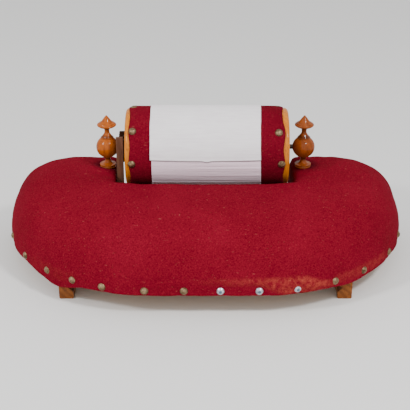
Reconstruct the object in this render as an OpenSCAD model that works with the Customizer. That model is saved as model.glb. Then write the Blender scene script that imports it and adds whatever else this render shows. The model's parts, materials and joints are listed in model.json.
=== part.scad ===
// Bobbin lace roller pillow: a felt covered pillow on a board, with a roller held by a ratchet.
// X runs to the right, Y to the back, Z up. The origin is under the middle, on the table.

/* [Pillow] */
// Width of the stuffed pillow from side to side
pillow_w = 578; // [520:1:700]
// Depth of the pillow from front to back
pillow_d = 292; // [270:1:330]
// Height of the crest of the felt above its hem
pillow_h = 98; // [90:1:106]
// Radius of the two front corners seen from above
front_corner_r = 220; // [150:1:240]
// Radius of the two back corners seen from above
back_corner_r = 42; // [20:1:55]
// Distance over which the front and sides rise to the crest
front_roll = 125; // [100:1:145]
// Distance over which the back rises to the crest
back_roll = 48; // [40:1:110]
// Fullness of the stuffed edge, where 2 is round and 4 nearly square
fullness = 2.7; // [2.6:0.1:4]
// Thickness of the wool felt
felt_t = 3; // [2:0.5:4]
// How much more rounded the back corners are at the crest than at the hem
corner_draw = 5; // [0:5:120]
// Turn of the ridge line behind which the lobes fall away, seen from above
ridge_turn = 42; // [35:1:50]

/* [Board and runners] */
// Thickness of the base board
board_t = 18; // [12:1:22]
// Height of the felt's hem above the underside of the board
hem_lift = 2; // [0:0.5:5]
// Width of a runner
runner_w = 20; // [16:1:30]
// Height of a runner
runner_h = 30; // [24:1:40]
// Length of a runner
runner_l = 215; // [150:1:220]
// Distance between the middles of the two runners
runner_spacing = 386; // [340:1:400]
// Distance from the front of the pillow to the front ends of the runners
runner_setback = 48; // [40:1:60]
// Depth of the groove along the inner side of a runner
groove_depth = 6.5; // [2:0.5:8]

/* [Recess] */
// Half of the clear width of the recess
recess_half_w = 131; // [131:1:150]
// Distance from the roller's axis to the front wall of the recess
recess_reach = 66; // [64:1:75]
// Thickness of the two cheek boards
cheek_t = 20; // [16:1:24]
// Length of the two cheek boards
cheek_l = 105; // [90:1:108]
// Thickness of the front rail
rail_t = 18; // [12:1:24]

/* [Roller] */
// Height of the roller's axis above the crest of the felt
axis_rise = 27; // [24:1:35]
// Distance from the roller's axis to the back of the pillow
axis_to_back = 69.5; // [64:0.5:80]
// Outer radius of the roller over its felt
roller_r = 60; // [50:0.5:61]
// Thickness of an end disc
disc_t = 24; // [20:1:30]
// Width of the bare rim of the left disc
left_rim = 6.5; // [4:0.5:8]
// Width of the bare rim of the right disc
right_rim = 9.5; // [6:0.5:11]
// Rounding of the outer edge of an end disc
disc_round = 5; // [1:0.5:6]
// Radius of the wooden core
core_r = 16; // [14:1:24]
// Width of the white work cloth
cloth_w = 160; // [120:1:180]
// Thickness of the white work cloth
cloth_t = 1.2; // [0.8:0.1:2]
// Radius of the axle pins
axle_r = 3.5; // [3:0.1:4.5]
// Depth of the axle holes in the posts
axle_hole_depth = 12; // [10:1:16]

/* [Posts] */
// Radius of the ball that holds the axle pin
ball_r = 16.5; // [14:0.5:18]
// Radius of the cap above the ball
cap_r = 14; // [11:0.5:16]
// Radius of the post's foot
foot_r = 12; // [9:0.5:13]
// Height of the ball's middle above the underside of the foot
foot_drop = 31.5; // [31:0.5:38]
// Height of the tip above the ball's middle
tip_rise = 49; // [48:0.5:60]
// Radius of the spigot under the foot
spigot_r = 6; // [4:0.5:7]
// Length of the spigot below the foot
spigot_l = 30; // [20:1:45]

/* [Ratchet] */
// Number of teeth on the ratchet wheel
tooth_count = 24; // [12:12:36]
// Outer radius of the ratchet wheel
wheel_r = 23; // [20:0.5:26]
// Depth of a tooth
tooth_depth = 3.5; // [2:0.5:4]
// Thickness of the ratchet wheel
wheel_t = 10.5; // [6:0.5:12]
// Gap between the ratchet wheel and the ball of the left post
wheel_gap = 1.5; // [0.8:0.1:2]
// Gap between the right disc and the ball of the right post
disc_gap = 7.5; // [1:0.1:9]
// Width of the pawl
pawl_w = 10; // [7:0.5:10]
// Thickness of the pawl
pawl_t = 5; // [4:0.5:8]
// Height of the pawl's tip above the roller's axis
pawl_rise = 25; // [10:1:35]
// Depth of the pawl's pin below the roller's axis
pawl_drop = 73; // [60:1:85]
// Radius of the pawl's pin
pawl_pin_r = 2; // [1.5:0.1:3]

/* [Tacks and screws] */
// Radius of a tack's domed head
tack_r = 5.5; // [4:0.5:6]
// Height of a tack's domed head
tack_h = 3.4; // [2:0.1:4]
// Length of a tack's shank below its head
tack_l = 13; // [8:1:16]
// Distance between the tacks along the sides and the back
back_tack_gap = 60; // [40:1:90]
// Number of tacks round each end of the roller
roller_tack_count = 8; // [4:1:12]
// Radius of a screw's head
screw_head_r = 4; // [3:0.5:5]
// Radius of a screw's shank
screw_r = 1.9; // [1.5:0.1:2.5]
// How far the frame's screws reach into the cheeks and the rail
frame_bite = 24; // [14:1:34]
// How far a disc's screws reach into the wooden core
disc_bite = 14; // [8:1:20]
// How far the nails reach into the left disc
nail_bite = 12; // [6:1:18]

/* [Hidden] */

$fn = 64;

// Gap that keeps a soft solid clear of its neighbours
soft_gap = 0.3;
// Gap between the board's edge and the felt at its hem, which closes towards the board's top
edge_gap = 1.1;
// Drop of the front rail and the cheeks' front ends below the felt's underside, where padding goes over
padding_drop = 8;
// Chamfer along the inner top edges of the cheeks, under the padding
cheek_chamfer = 5;
// Gap between the tips of the ratchet's teeth and the back of the pawl
pawl_gap = 0.6;
// Gap between the pawl and the left end disc
pawl_disc_gap = 3.5;
// Radial clearance of a pin that turns in its hole
running_gap = 0.05;
// Gaps along the hem from the front centre to each tack, as they were driven by hand
right_gaps = [20, 52, 52, 57, 53, 70];
left_gaps = [29, 53, 59, 46, 47, 57, 69, 64];
// How far each tack round the roller's ends strays inwards from its line, and round the roller in degrees
left_strays = [[-2, 0], [-0.4, 2], [0.5, -2], [0.2, 1], [-0.5, 0], [0.4, 2], [-0.2, -9], [-0.3, -1]];
right_strays = [[-3.4, 0], [-0.5, -2], [0.6, 1], [-0.3, 0], [0.8, 2], [-0.6, 0], [0.3, -14], [0.9, 1]];
// How many tacks to the right of the front centre are nickel
nickel_count = 3;
// Height of the front tacks above the hem
tack_lift = 7;

board_z = runner_h;
board_top = board_z + board_t;
hem_z = board_z + hem_lift;
crest_z = hem_z + pillow_h;
front_y = -pillow_d / 2;
back_y = pillow_d / 2;
runner_y = front_y + runner_setback;

axis_y = back_y - axis_to_back;
axis_z = crest_z + axis_rise;
recess_front_y = axis_y - recess_reach;
cheek_x = recess_half_w + felt_t + soft_gap;
post_x = cheek_x + cheek_t / 2;
foot_z = axis_z - foot_drop;
ball_inner_x = post_x - ball_r;

// The lobes behind the ridge line slope down so that they pass under the feet of the posts
ridge_to_post = (axis_y - recess_front_y) * cos(ridge_turn) - (post_x - recess_half_w) * sin(ridge_turn);
ledge_slope = atan((crest_z - foot_z) / ridge_to_post);

roller_left = -ball_inner_x + wheel_gap + wheel_t;
roller_right = ball_inner_x - disc_gap;
roller_felt_t = felt_t;
disc_r = roller_r - roller_felt_t - soft_gap;
core_left = roller_left + disc_t;
core_right = roller_right - disc_t;
felt_left = roller_left + left_rim;
felt_right = roller_right - right_rim;
cloth_mid = 0.8;
roller_tack_inset = 5.6;
// Turn of the first tack of each ring, from the top over the front
roller_tack_start = 93;
axle_seat = 30;
axle_end_gap = 1;

pawl_back_y = axis_y - wheel_r - pawl_gap;
pawl_y = pawl_back_y - pawl_t / 2;
pawl_z = axis_z - pawl_drop;
pawl_right = roller_left - pawl_disc_gap;
pawl_left = pawl_right - pawl_w;
pawl_head_t = 2.2;
pawl_head_r = 2.4 * pawl_pin_r;
pawl_seat = 16;

// Turns a profile drawn in Y and Z so that it is extruded to the right
module along_x(x) {
    translate([x, 0, 0]) rotate([90, 0, 90]) children();
}

// A round bar, tube or disc on the roller's axis, from x0 to x1
module axial_bar(x0, x1, r) {
    translate([x0, axis_y, axis_z]) rotate([0, 90, 0]) cylinder(h = x1 - x0, r = r);
}

// ---- Plan outline of the pillow ----

// The D shape of the pillow, drawn in by inset
module plan_outline(inset) {
    half_w = pillow_w / 2 - inset;
    fy = front_y + inset;
    by = back_y - inset;
    fr = front_corner_r - inset;
    br = back_corner_r - inset;
    for (side = [-1, 1]) {
        intersection() {
            translate([side * (half_w - fr), fy + fr]) circle(r = fr, $fn = 128);
            translate([-half_w, fy]) square([2 * half_w, fr]);
        }
        translate([side * (half_w - br), by - br]) circle(r = br);
    }
    translate([-(half_w - fr), fy]) square([2 * (half_w - fr), fr]);
    translate([-half_w, fy + fr]) square([2 * half_w, by - br - fy - fr]);
    translate([-(half_w - br), by - br]) square([2 * (half_w - br), br]);
}

// Lengths of the outline's stretches, from the front centre round to the back centre
run_front = pillow_w / 2 - front_corner_r;
run_corner = front_corner_r * PI / 2;
run_side = pillow_d - front_corner_r - back_corner_r;
run_back_corner = back_corner_r * PI / 2;
run_back = pillow_w / 2 - back_corner_r;
half_run = run_front + run_corner + run_side + run_back_corner + run_back;

// Place [x, y, heading] on the right half of the outline, s along it from the front centre
function edge_place(s) =
    s < run_front ? [s, front_y, -90] :
    s < run_front + run_corner ? corner_place((s - run_front) / front_corner_r * 180 / PI,
        run_front, front_y + front_corner_r, front_corner_r, -90) :
    s < run_front + run_corner + run_side ?
        [pillow_w / 2, front_y + front_corner_r + s - run_front - run_corner, 0] :
    s < half_run - run_back ? corner_place((s - half_run + run_back + run_back_corner)
        / back_corner_r * 180 / PI, run_back, back_y - back_corner_r, back_corner_r, 0) :
    [half_run - s, back_y, 90];
function corner_place(turn, cx, cy, r, start) =
    [cx + r * cos(start + turn), cy + r * sin(start + turn), start + turn];

function sum_to(list, n) = n < 0 ? 0 : list[n] + sum_to(list, n - 1);
function driven(gaps) = [for (i = [0 : len(gaps) - 1]) sum_to(gaps, i)];
function onward(gaps) = [for (s = [sum_to(gaps, len(gaps) - 1) + back_tack_gap : back_tack_gap :
    half_run - back_tack_gap / 3]) s];

// ---- Soft forms ----

function swell(t) = pow(cos(t), 2 / fullness);
function rise(t) = pow(sin(t), 2 / fullness);

// One level of the stuffed D, drawn in by its insets, with its back corners rounded
module level_outline(in_front, in_back, round_r) {
    half_w = pillow_w / 2 - in_front;
    fr = front_corner_r - in_front;
    offset(r = round_r, $fn = 40) offset(delta = -round_r)
        intersection() {
            hull() {
                for (side = [-1, 1]) translate([side * run_front, front_y + front_corner_r])
                    circle(r = fr, $fn = 72);
                translate([-half_w, front_y + front_corner_r]) square([2 * half_w, pillow_d]);
            }
            translate([-half_w, front_y]) square([2 * half_w, pillow_d - in_back]);
        }
}

// The stuffed D without its recess, as one skin over levels that draw in as they rise
module crown(e, base_z) {
    steps = 10;
    hull()
        for (i = [0 : steps]) {
            t = 90 * i / steps;
            in_front = e + (front_roll - e) * (1 - swell(t));
            in_back = e + (back_roll - e) * (1 - swell(t));
            z = i == 0 ? base_z : hem_z + (pillow_h - e) * rise(t);
            round_r = min(back_corner_r - e + corner_draw * (1 - swell(t)),
                          0.45 * (pillow_d - in_front - in_back));
            translate([0, 0, z]) linear_extrude(0.01) level_outline(in_front, in_back, round_r);
        }
}

// What is cut away over a lobe: a slope from the ridge line down to the post, and level behind it
module over_ledge() {
    translate([recess_half_w, recess_front_y, crest_z]) rotate([0, 0, ridge_turn])
        rotate([90, 0, 90]) linear_extrude(pillow_w)
            polygon([[0, 0], [ridge_to_post, foot_z - crest_z], [pillow_d / 2, foot_z - crest_z],
                     [pillow_d / 2, pillow_h], [0, pillow_h]]);
}

// The pillow with its open recess and the ledges that carry the posts
module pillow_form(e, base_z) {
    difference() {
        crown(e, base_z);
        translate([-recess_half_w - e, recess_front_y - e, board_top + soft_gap])
            cube([2 * (recess_half_w + e), pillow_d, 2 * pillow_h]);
        for (side = [0, 1])
            mirror([side, 0, 0]) translate([0, 0, -e]) over_ledge();
    }
}

module stuffing() {
    e = felt_t + soft_gap;
    floor_z = board_top + soft_gap;
    color("tan")
        difference() {
            pillow_form(e, hem_z - 1);
            translate([-pillow_w, -pillow_d, 0]) cube([2 * pillow_w, 2 * pillow_d, floor_z]);
            rail_block(soft_gap);
            for (side = [0, 1]) mirror([side, 0, 0]) {
                cheek_block(1, soft_gap);
                translate([cheek_x - soft_gap, recess_front_y + 1.5 * padding_drop, floor_z])
                    cube([cheek_t + 2 * soft_gap, cheek_l - 1.5 * padding_drop, pillow_h]);
            }
        }
}

module felt_cover() {
    color("crimson")
        difference() {
            pillow_form(0, hem_z);
            pillow_form(felt_t, hem_z - 1);
            for (side = [-1, 1]) {
                translate([side * post_x, axis_y, foot_z - soft_gap])
                    cylinder(h = pillow_h, r = foot_r + 2 * soft_gap, $fn = 32);
                translate([side * post_x, axis_y, board_top])
                    cylinder(h = pillow_h, r = spigot_r + soft_gap, $fn = 32);
            }
            translate([-cheek_x, pawl_y, pawl_z]) rotate([0, 90, 0])
                cylinder(h = felt_t + 1, r = pawl_pin_r + soft_gap, $fn = 24);
        }
}

// ---- Board, runners and the walls of the recess ----

// Places of the screws that hold the cheeks and the rail, driven up through the board
frame_screw_places = [
    for (side = [-1, 1], y = [0.25, 0.8]) [side * post_x, recess_front_y + cheek_l * y],
    for (x = [-0.6, 0, 0.6]) [x * recess_half_w, recess_front_y - felt_t - soft_gap - rail_t / 2]];

module base_board() {
    color("burlywood")
        difference() {
            translate([0, 0, board_z])
                linear_extrude(board_t) plan_outline(felt_t + edge_gap);
            for (p = frame_screw_places)
                translate([p[0], p[1], board_z]) screw_hole(board_t);
        }
}

// Screws in the runners, as shares of the runner's length
runner_screw_shares = [0.12, 0.5, 0.88];

module runner(side) {
    g = groove_depth;
    top = runner_h;
    bevel = 1.5;
    outline = [
        [-runner_w / 2, bevel], [-runner_w / 2 + bevel, 0],
        [runner_w / 2 - bevel, 0], [runner_w / 2, bevel],
        [runner_w / 2, 0.36 * top], [runner_w / 2 - g, 0.56 * top],
        [runner_w / 2, 0.71 * top], [runner_w / 2, top], [-runner_w / 2, top]];
    color("sienna")
        mirror([side > 0 ? 1 : 0, 0, 0])
            translate([-runner_spacing / 2, runner_y, 0])
                difference() {
                    rotate([90, 0, 0])
                        translate([0, 0, -runner_l]) linear_extrude(runner_l) polygon(outline);
                    for (share = runner_screw_shares)
                        translate([-g / 2, share * runner_l, 0]) screw_hole(runner_h);
                }
}

// A clearance hole with a pocket for the head, opening downwards at z = 0
module screw_hole(depth) {
    head_sink = 3;
    translate([0, 0, -1]) cylinder(h = head_sink + 1, r = screw_head_r + 0.4);
    translate([0, 0, -1]) cylinder(h = depth + 2, r = screw_r + 0.1);
}

// A slotted round-head wood screw standing point up, its head's top at z = 0
module wood_screw(length) {
    head_h = 2.4;
    slot_w = 1;
    difference() {
        rotate_extrude()
            polygon([[0, 0], [screw_head_r * 0.6, 0], [screw_head_r, head_h * 0.6],
                     [screw_head_r, head_h], [screw_r, head_h], [screw_r, length - 2 * screw_r],
                     [0, length]]);
        translate([-screw_head_r, -slot_w / 2, -1]) cube([2 * screw_head_r, slot_w, 2]);
    }
}

module runner_screws() {
    head_z = 0.6;
    color("silver")
        for (side = [-1, 1], share = runner_screw_shares)
            translate([side * (runner_spacing / 2 + groove_depth / 2), runner_y + share * runner_l,
                       head_z])
                wood_screw(runner_h + board_t * 0.7);
}

module frame_screws() {
    head_z = board_z + 0.6;
    color("silver")
        for (p = frame_screw_places) translate([p[0], p[1], head_z]) wood_screw(board_t + frame_bite);
}

// Front of the cheeks and back of the rail
frame_front_y = recess_front_y - felt_t - soft_gap;
frame_top = crest_z - felt_t - padding_drop;

// A cheek board's block, grown by a gap: its top follows the ledge and is cut down for padding
module cheek_block(side, gap) {
    z0 = board_top;
    top = crest_z - felt_t / cos(ledge_slope) - soft_gap;
    fall = cos(ridge_turn) * tan(ledge_slope);
    to_post = (crest_z - foot_z) / fall;
    foot_top = top - crest_z + foot_z;
    difference() {
        along_x(side > 0 ? cheek_x - gap : -cheek_x - cheek_t - gap)
            linear_extrude(cheek_t + 2 * gap)
                offset(delta = gap)
                    polygon([[frame_front_y, z0],
                             [frame_front_y + cheek_l, z0],
                             [frame_front_y + cheek_l, top - cheek_l * fall],
                             [axis_y + foot_r, foot_top],
                             [recess_front_y + to_post, foot_top],
                             [recess_front_y + 2 * padding_drop, top - 2 * padding_drop * fall],
                             [recess_front_y + padding_drop, frame_top],
                             [frame_front_y, frame_top]]);
        mirror([side < 0 ? 1 : 0, 0, 0])
            translate([cheek_x - gap, 0, frame_top + padding_drop - cheek_chamfer])
                rotate([0, -45, 0]) translate([-pillow_h, frame_front_y - 1, 0])
                    cube([pillow_h, cheek_l + 2, pillow_h]);
    }
}

// The rail's block, grown by a gap: a little shorter and lower than the cheeks that it joins
module rail_block(gap) {
    step = 1.5;
    half_l = cheek_x + cheek_t - step + gap;
    translate([-half_l, frame_front_y - rail_t - gap, board_top])
        cube([2 * half_l, rail_t + 2 * gap, frame_top - step - board_top + gap]);
}

// A cheek board bored for the post, and on the left for the pawl's pin
module cheek(side) {
    color("burlywood")
        difference() {
            cheek_block(side, 0);
            translate([side * post_x, axis_y, foot_z - spigot_l - 1])
                cylinder(h = spigot_l + 10, r = spigot_r + running_gap);
            if (side < 0)
                translate([-cheek_x - pawl_seat, pawl_y, pawl_z]) rotate([0, 90, 0])
                    cylinder(h = pawl_seat + 1, r = pawl_pin_r + running_gap);
        }
}

module front_rail() {
    color("burlywood") rail_block(0);
}

// ---- Posts ----

function arc(cx, cy, r, a0, a1, n) =
    [for (i = [0 : n]) [cx + r * cos(a0 + (a1 - a0) * i / n), cy + r * sin(a0 + (a1 - a0) * i / n)]];

// Half profile of a turned post: spigot, foot, ball and cap, with the ball's middle at height 0
module post_profile() {
    neck_r = 0.22 * ball_r;
    collar_r = 0.57 * ball_r;
    foot_top = -foot_drop + 5.5;
    low_neck = -sqrt(ball_r * ball_r - neck_r * neck_r) - 3.5;
    collar_z = sqrt(ball_r * ball_r - collar_r * collar_r);
    cap_z = 0.71 * tip_rise;
    neck_z = collar_z + 9;
    polygon(concat(
        [[0, -foot_drop - spigot_l], [spigot_r - 1, -foot_drop - spigot_l],
         [spigot_r, -foot_drop - spigot_l + 1], [spigot_r, -foot_drop],
         [foot_r - 1.8, -foot_drop]],
        arc(foot_r - 1.8, -foot_drop + 1.4, 1.4, -90, 50, 6),
        [[foot_r - 1.5, -foot_drop + 3], [foot_r - 1.2, -foot_drop + 3.5]],
        arc(foot_r - 0.8, foot_top - 1.1, 0.8, -60, 90, 5),
        [[0.8 * foot_r, foot_top - 0.5], [0.6 * foot_r, foot_top + 0.5],
         [0.46 * foot_r, foot_top + 1.8], [neck_r + 0.6, foot_top + 4], [neck_r, low_neck + 1]],
        arc(0, 0, ball_r, -90 + asin((neck_r + 1.2) / ball_r), 90 - asin(collar_r / ball_r), 18),
        arc(collar_r - 0.9, collar_z + 0.9, 1.1, -45, 90, 5),
        [[0.88 * collar_r, collar_z + 2.2], [0.78 * collar_r, collar_z + 3.6],
         [0.66 * collar_r, collar_z + 5], [neck_r + 1.4, collar_z + 6.6],
         [neck_r + 0.4, collar_z + 8.2], [neck_r, neck_z + 1], [neck_r, cap_z - 8.4],
         [neck_r + 0.7, cap_z - 6.6], [0.45 * cap_r, cap_z - 5], [0.66 * cap_r, cap_z - 3.9],
         [0.84 * cap_r, cap_z - 2.8], [cap_r - 1, cap_z - 1.7]],
        arc(cap_r - 1.5, cap_z - 0.4, 1.5, -60, 75, 6),
        [[cap_r - 2, cap_z + 1.2]],
        arc(0.77 * cap_r, cap_z + 1.7, 0.9, 0, 60, 3),
        [[0.66 * cap_r, cap_z + 3], [0.59 * cap_r, cap_z + 4.3], [0.5 * cap_r, cap_z + 5.6],
         [0.42 * cap_r, cap_z + 7.2], [0.32 * cap_r, cap_z + 9.2], [0.21 * cap_r, cap_z + 11.2],
         [0.13 * cap_r, tip_rise - 1.6], [0.05 * cap_r, tip_rise - 0.3], [0, tip_rise]]));
}

module post(side) {
    color("chocolate")
        difference() {
            translate([side * post_x, axis_y, axis_z]) rotate_extrude() post_profile();
            if (side < 0) axial_bar(-ball_inner_x - axle_hole_depth, -ball_inner_x + 1,
                                    axle_r + running_gap);
            else axial_bar(ball_inner_x - 1, ball_inner_x + axle_hole_depth, axle_r + running_gap);
        }
}

// ---- Roller ----

module roller_core() {
    color("burlywood")
        difference() {
            axial_bar(core_left, core_right, core_r);
            axial_bar(core_left - 1, core_left + axle_seat + axle_end_gap, axle_r + running_gap);
            axial_bar(core_right - axle_seat - axle_end_gap, core_right + 1,
                      axle_r + running_gap);
        }
}

module roller_stuffing() {
    color("tan")
        difference() {
            axial_bar(core_left + soft_gap, core_right - soft_gap, disc_r);
            axial_bar(core_left - 1, core_right + 1, core_r + soft_gap);
        }
}

// Screws that hold a disc to the core, on a ring round the axle
disc_screw_ring = 10.2;
disc_screw_count = 3;
module on_ring(ring_r, count, start) {
    for (i = [0 : count - 1])
        translate([0, axis_y + ring_r * cos(start + 360 * i / count),
                   axis_z + ring_r * sin(start + 360 * i / count)]) children();
}

// A turned end disc with a rounded outer edge, which stands bare beside the felt sleeve
module disc_profile() {
    polygon(concat(
        [[axle_r + running_gap, 0], [disc_r - disc_round, 0]],
        arc(disc_r - disc_round, disc_round, disc_round, -90, 0, 8),
        [[disc_r, disc_t], [axle_r + running_gap, disc_t]]));
}

module left_disc() {
    color("peru")
        difference() {
            translate([roller_left, axis_y, axis_z]) rotate([0, 90, 0])
                rotate_extrude($fn = 128) disc_profile();
            on_ring(disc_screw_ring, disc_screw_count, 30)
                translate([roller_left, 0, 0]) rotate([0, 90, 0]) screw_hole(disc_t);
        }
}

module right_disc() {
    color("peru")
        difference() {
            translate([roller_right, axis_y, axis_z]) rotate([0, -90, 0])
                rotate_extrude($fn = 128) disc_profile();
            on_ring(disc_screw_ring, disc_screw_count, 30)
                translate([roller_right, 0, 0]) rotate([0, -90, 0]) screw_hole(disc_t);
        }
}

module disc_screws() {
    sink = 0.4;
    color("silver")
        on_ring(disc_screw_ring, disc_screw_count, 30) {
            translate([roller_left + sink, 0, 0]) rotate([0, 90, 0]) wood_screw(disc_t + disc_bite);
            translate([roller_right - sink, 0, 0]) rotate([0, -90, 0]) wood_screw(disc_t + disc_bite);
        }
}

// The felt sleeve, whose cut edges are pressed thin and rounded by the tacks
module roller_felt() {
    edge_r = 0.7 * roller_felt_t;
    inner = roller_r - roller_felt_t;
    length = felt_right - felt_left;
    color("crimson")
        translate([felt_left, axis_y, axis_z]) rotate([0, 90, 0])
            rotate_extrude($fn = 128)
                polygon(concat(
                    [[inner, 0]],
                    arc(roller_r - edge_r, edge_r, edge_r, -90, 0, 6),
                    arc(roller_r - edge_r, length - edge_r, edge_r, 0, 90, 6),
                    [[inner, length]]));
}

module work_cloth() {
    color("whitesmoke")
        difference() {
            axial_bar(cloth_mid - cloth_w / 2, cloth_mid + cloth_w / 2,
                      roller_r + soft_gap + cloth_t);
            axial_bar(cloth_mid - cloth_w / 2 - 1, cloth_mid + cloth_w / 2 + 1,
                      roller_r + soft_gap);
        }
}

// A domed tack with its head's underside at z = 0 and its point down
module tack() {
    shank_r = 0.9;
    point_l = 3;
    bulge_r = (tack_r * tack_r + tack_h * tack_h) / (2 * tack_h);
    rotate_extrude($fn = 32)
        polygon(concat(
            [[0, -tack_l], [shank_r, -tack_l + point_l], [shank_r, 0], [tack_r, 0]],
            arc(0, tack_h - bulge_r, bulge_r, acos(tack_r / bulge_r), 90, 6)));
}

module roller_tacks() {
    color("goldenrod")
        for (i = [0 : roller_tack_count - 1], side = [-1, 1]) {
            strays = side < 0 ? left_strays : right_strays;
            stray = strays[i % len(strays)];
            inset = roller_tack_inset + stray[0];
            translate([side < 0 ? felt_left + inset : felt_right - inset, axis_y, axis_z])
                rotate([360 * i / roller_tack_count + roller_tack_start + stray[1], 0, 0])
                    translate([0, 0, roller_r + soft_gap]) tack();
        }
}

module axle_pin(x0, x1) {
    color("dimgray") axial_bar(x0, x1, axle_r);
}

// ---- Ratchet and pawl ----

// Saw teeth whose steep sides face down at the front, where the pawl stands
module ratchet_outline() {
    pitch = 360 / tooth_count;
    polygon([for (i = [0 : tooth_count - 1], tip = [0, 1])
        let (a = 180 + (i + tip) * pitch, r = wheel_r - (1 - tip) * tooth_depth)
        [r * cos(a), r * sin(a)]]);
}

nail_ring = 0.62 * wheel_r;
nail_count = 3;
nail_r = 0.9;

module ratchet_wheel() {
    color("saddlebrown")
        difference() {
            along_x(roller_left - wheel_t)
                translate([axis_y, axis_z, 0])
                    linear_extrude(wheel_t) ratchet_outline();
            axial_bar(roller_left - wheel_t - 1, roller_left + 1, axle_r + running_gap);
        }
}

module wheel_nails() {
    head_t = 0.7;
    color("silver")
        on_ring(nail_ring, nail_count, 90)
            translate([roller_left - wheel_t, 0, 0]) rotate([0, 90, 0]) {
                translate([0, 0, -head_t]) cylinder(h = head_t, r = 2 * nail_r);
                cylinder(h = wheel_t + nail_bite, r = nail_r);
            }
}

// The nose stands in the tooth gap just below the roller's axis and stops the front from sinking
module pawl_outline() {
    pitch = 360 / tooth_count;
    play = 0.4;
    root = wheel_r - tooth_depth;
    lean = (root - wheel_r * cos(pitch)) / (wheel_r * sin(pitch));
    back = wheel_r + pawl_gap;
    reach = back - root - play;
    nose_h = reach / max(-lean, 0.2);
    tail = 1.6 * pawl_t;
    translate([axis_y, axis_z])
        polygon([[-back - pawl_t, -pawl_drop - tail],
                 [-back, -pawl_drop - tail],
                 [-back, -play - nose_h],
                 [-root - play, -play - 0.4],
                 [-root - play, -play],
                 [-back, -play],
                 [-back, pawl_rise - 1],
                 [-back - 1, pawl_rise],
                 [-back - pawl_t, pawl_rise]]);
}

module pawl() {
    slant = 4;
    color("sienna")
        difference() {
            along_x(pawl_left) linear_extrude(pawl_w) pawl_outline();
            translate([pawl_left - 1, pawl_y, pawl_z]) rotate([0, 90, 0])
                cylinder(h = pawl_w + 2, r = pawl_pin_r + running_gap);
            translate([pawl_left, pawl_y, axis_z + pawl_rise - slant])
                rotate([0, -45, 0]) translate([-2 * pawl_w, -pawl_t, 0])
                    cube([2 * pawl_w, 2 * pawl_t, 2 * pawl_w]);
        }
}

module pawl_pin() {
    color("silver")
        translate([0, pawl_y, pawl_z]) rotate([0, 90, 0]) {
            translate([0, 0, -cheek_x - pawl_seat + 1])
                cylinder(h = cheek_x + pawl_seat - 1 + pawl_right + 0.4, r = pawl_pin_r);
            translate([0, 0, pawl_right + 0.4]) cylinder(h = pawl_head_t, r = pawl_head_r);
        }
}

module pawl_washer() {
    gap = 0.2;
    x0 = -recess_half_w + gap;
    color("silver")
        translate([x0, pawl_y, pawl_z]) rotate([0, 90, 0])
            difference() {
                cylinder(h = pawl_left - gap - x0, r = pawl_head_r);
                translate([0, 0, -1]) cylinder(h = 20, r = pawl_pin_r + running_gap);
            }
}

// ---- Tacks round the hem ----

module hem_tack(s, side) {
    p = edge_place(s);
    mirror([side < 0 ? 1 : 0, 0, 0])
        translate([p[0], p[1], hem_z + tack_lift])
            rotate([0, 0, p[2]]) rotate([0, 90, 0]) translate([0, 0, soft_gap]) tack();
}

module brass_tacks() {
    right = driven(right_gaps);
    color("goldenrod") {
        for (i = [nickel_count : len(right) - 1]) hem_tack(right[i], 1);
        for (s = onward(right_gaps)) hem_tack(s, 1);
        for (s = concat(driven(left_gaps), onward(left_gaps))) hem_tack(s, -1);
    }
}

module nickel_tacks() {
    right = driven(right_gaps);
    color("lightgray")
        for (i = [0 : nickel_count - 1]) hem_tack(right[i], 1);
}

base_board();
runner(-1);  // left_runner
runner(1);  // right_runner
runner_screws();
cheek(-1);  // left_cheek
cheek(1);  // right_cheek
front_rail();
frame_screws();
stuffing();
felt_cover();
brass_tacks();
nickel_tacks();
post(-1);  // left_post
post(1);  // right_post
roller_core();
roller_stuffing();
left_disc();
right_disc();
disc_screws();
roller_felt();
roller_tacks();
work_cloth();
ratchet_wheel();
wheel_nails();
axle_pin(-ball_inner_x - axle_hole_depth + axle_end_gap, core_left + axle_seat);  // left_axle_pin
axle_pin(core_right - axle_seat, ball_inner_x + axle_hole_depth - axle_end_gap);  // right_axle_pin
pawl();
pawl_pin();
pawl_washer();
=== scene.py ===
"""The looks of a bobbin lace roller pillow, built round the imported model. Metres, +Z up, +Y to the back."""

import json
import math

import bmesh
import bpy
import numpy as np
from mathutils import Euler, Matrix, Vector, noise
from mathutils.bvhtree import BVHTree

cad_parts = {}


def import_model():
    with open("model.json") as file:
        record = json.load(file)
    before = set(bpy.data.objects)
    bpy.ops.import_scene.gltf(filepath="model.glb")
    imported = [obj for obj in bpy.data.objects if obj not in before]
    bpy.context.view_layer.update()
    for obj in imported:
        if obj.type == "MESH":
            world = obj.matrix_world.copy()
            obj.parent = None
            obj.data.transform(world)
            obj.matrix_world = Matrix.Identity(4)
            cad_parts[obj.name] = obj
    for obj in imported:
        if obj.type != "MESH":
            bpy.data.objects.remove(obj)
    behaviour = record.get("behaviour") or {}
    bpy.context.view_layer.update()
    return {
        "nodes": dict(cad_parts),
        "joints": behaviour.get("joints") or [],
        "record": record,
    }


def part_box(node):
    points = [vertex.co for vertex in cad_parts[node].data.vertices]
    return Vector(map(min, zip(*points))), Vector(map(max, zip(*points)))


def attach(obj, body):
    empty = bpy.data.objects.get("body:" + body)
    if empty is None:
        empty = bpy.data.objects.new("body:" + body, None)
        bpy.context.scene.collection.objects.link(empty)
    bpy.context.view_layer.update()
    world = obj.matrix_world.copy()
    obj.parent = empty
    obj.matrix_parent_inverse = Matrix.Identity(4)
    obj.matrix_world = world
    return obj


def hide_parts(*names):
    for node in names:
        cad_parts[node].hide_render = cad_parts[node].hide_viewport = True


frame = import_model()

MM = 0.001
TAU = 2 * math.pi
scene = bpy.context.scene
nodes = frame["nodes"]

# ---------------------------------------------------------------- sizes from the frame

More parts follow.
